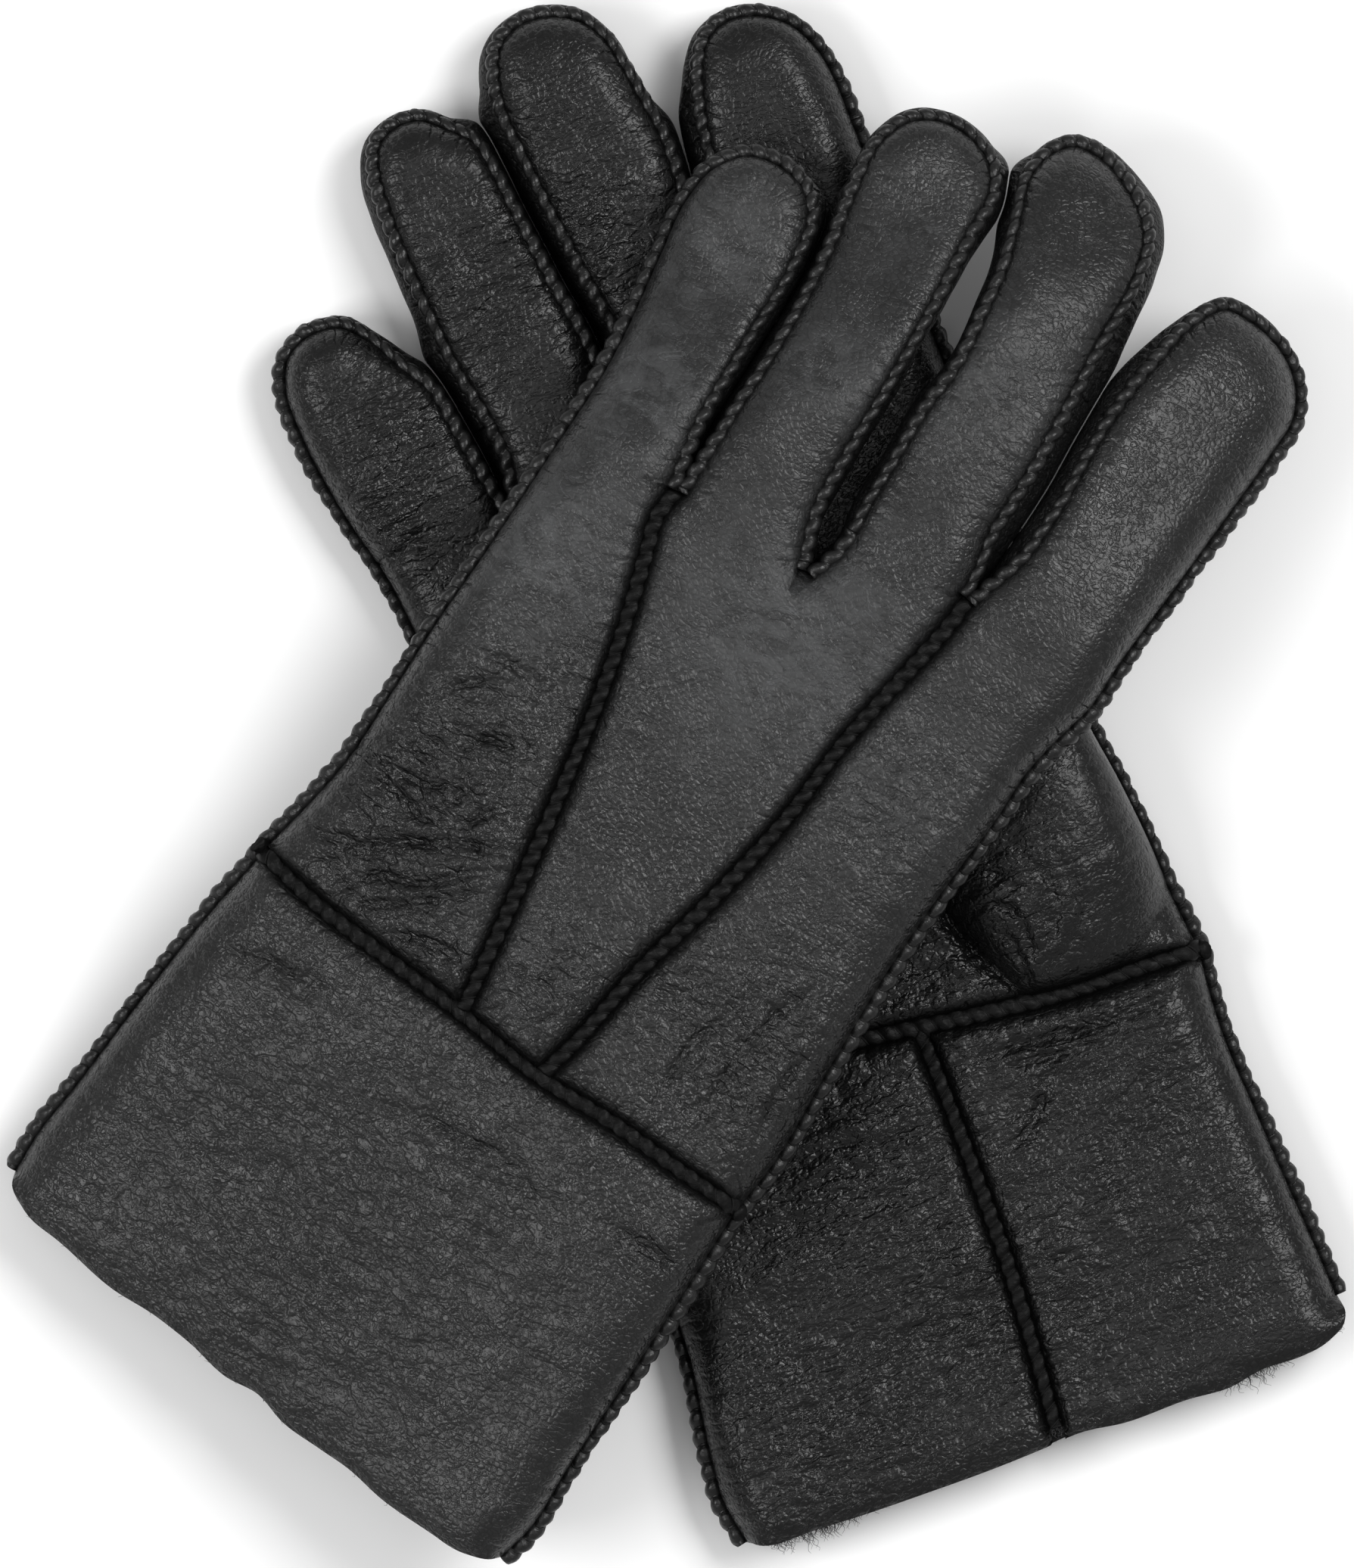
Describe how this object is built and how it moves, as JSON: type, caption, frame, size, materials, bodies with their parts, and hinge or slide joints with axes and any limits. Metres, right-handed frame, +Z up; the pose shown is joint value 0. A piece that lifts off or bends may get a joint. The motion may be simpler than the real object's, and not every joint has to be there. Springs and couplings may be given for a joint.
{
  "type": "shearling gloves",
  "caption": "Sewn shearling leather gloves for both hands, lying crossed: one palm up, the other palm down over it, hollow fingers, thumbs and wide cuffs, fingers that lift.",
  "frame": {"origin": "middle of the pair's footprint, on the table that the lower glove lies on", "axes": "+Z up from the table, +Y towards the fingertips, +X towards the left glove's index finger and the right glove's cuff"},
  "size_m": [0.2654, 0.3077, 0.0532],
  "materials": {
    "leather": "semi-gloss black grained sheepskin nappa",
    "worn_leather": "black sheepskin with a greyer matte bloom",
    "wool": "clipped curly black wool",
    "thread": "waxed black sewing thread"
  },
  "bodies": {
    "right_hand": {"right_back_centre_panel": "leather", "right_back_index_panel": "leather", "right_back_little_panel": "leather", "right_cuff_back": "leather", "right_cuff_palm_inner": "leather", "right_cuff_palm_outer": "leather", "right_inner_side_edge": "leather", "right_little_ring_fourchette": "leather", "right_middle_index_fourchette": "leather", "right_outer_side_edge": "leather", "right_palm_panel": "leather", "right_palm_seam_thread": "thread", "right_ring_middle_fourchette": "leather", "right_thumb_inner": "leather", "right_thumb_outer": "leather"},
    "right_little_finger": {"right_little_finger_back": "leather", "right_little_finger_inner_fourchette": "leather", "right_little_finger_palm": "leather", "right_little_finger_side_edge": "leather"},
    "right_ring_finger": {"right_ring_finger_back": "leather", "right_ring_finger_inner_fourchette": "leather", "right_ring_finger_outer_fourchette": "leather", "right_ring_finger_palm": "leather"},
    "right_middle_finger": {"right_middle_finger_back": "leather", "right_middle_finger_inner_fourchette": "leather", "right_middle_finger_outer_fourchette": "leather", "right_middle_finger_palm": "leather"},
    "right_index_finger": {"right_index_finger_back": "leather", "right_index_finger_outer_fourchette": "leather", "right_index_finger_palm": "leather", "right_index_finger_side_edge": "leather"},
    "left_hand": {"left_back_centre_panel": "worn_leather", "left_back_index_panel": "worn_leather", "left_back_little_panel": "worn_leather", "left_back_seam_thread": "thread", "left_cuff_back": "leather", "left_cuff_palm_inner": "leather", "left_cuff_palm_outer": "leather", "left_inner_side_edge": "leather", "left_outer_side_edge": "leather", "left_palm_panel": "leather", "left_thumb_inner": "leather", "left_thumb_outer": "leather"},
    "left_little_finger": {"left_little_finger_back": "worn_leather", "left_little_finger_inner_fourchette": "leather", "left_little_finger_palm": "leather", "left_little_finger_side_edge": "leather"},
    "left_ring_finger": {"left_ring_finger_back": "worn_leather", "left_ring_finger_inner_fourchette": "leather", "left_ring_finger_outer_fourchette": "leather", "left_ring_finger_palm": "leather"},
    "left_middle_finger": {"left_middle_finger_back": "worn_leather", "left_middle_finger_inner_fourchette": "leather", "left_middle_finger_outer_fourchette": "leather", "left_middle_finger_palm": "leather"},
    "left_index_finger": {"left_index_finger_back": "worn_leather", "left_index_finger_outer_fourchette": "leather", "left_index_finger_palm": "leather", "left_index_finger_side_edge": "leather"}
  },
  "joints": [
    {"name": "left_glove_lift", "type": "slide", "parent": "right_hand", "child": "left_hand", "axis": [0, 0, 1], "range_m": [0, 0.15]},
    {"name": "right_little_finger_bend", "type": "hinge", "parent": "right_hand", "child": "right_little_finger", "pos_m": [-0.0489, 0.05, 0.02], "axis": [0.8707, 0.4919, 0], "range_deg": [0, 35]},
    {"name": "right_ring_finger_bend", "type": "hinge", "parent": "right_hand", "child": "right_ring_finger", "pos_m": [-0.0304, 0.0812, 0.02], "axis": [0.9038, 0.428, 0], "range_deg": [0, 35]},
    {"name": "right_middle_finger_bend", "type": "hinge", "parent": "right_hand", "child": "right_middle_finger", "pos_m": [-0.0126, 0.1155, 0.02], "axis": [0.9022, 0.4313, 0], "range_deg": [0, 35]},
    {"name": "right_index_finger_bend", "type": "hinge", "parent": "right_hand", "child": "right_index_finger", "pos_m": [0.02, 0.13, 0.02], "axis": [0.9363, 0.3511, 0], "range_deg": [0, 35]},
    {"name": "left_little_finger_bend", "type": "hinge", "parent": "left_hand", "child": "left_little_finger", "pos_m": [-0.0111, 0.0644, 0.05311], "axis": [0.8812, -0.4727, 0], "range_deg": [0, 40]},
    {"name": "left_ring_finger_bend", "type": "hinge", "parent": "left_hand", "child": "left_ring_finger", "pos_m": [0.0129, 0.052, 0.05312], "axis": [0.8764, -0.4815, 0], "range_deg": [0, 40]},
    {"name": "left_middle_finger_bend", "type": "hinge", "parent": "left_hand", "child": "left_middle_finger", "pos_m": [0.0463, 0.0472, 0.05314], "axis": [0.88, -0.4749, 0], "range_deg": [0, 40]},
    {"name": "left_index_finger_bend", "type": "hinge", "parent": "left_hand", "child": "left_index_finger", "pos_m": [0.0745, 0.031, 0.05315], "axis": [0.8294, -0.5586, 0], "range_deg": [0, 40]}
  ]
}
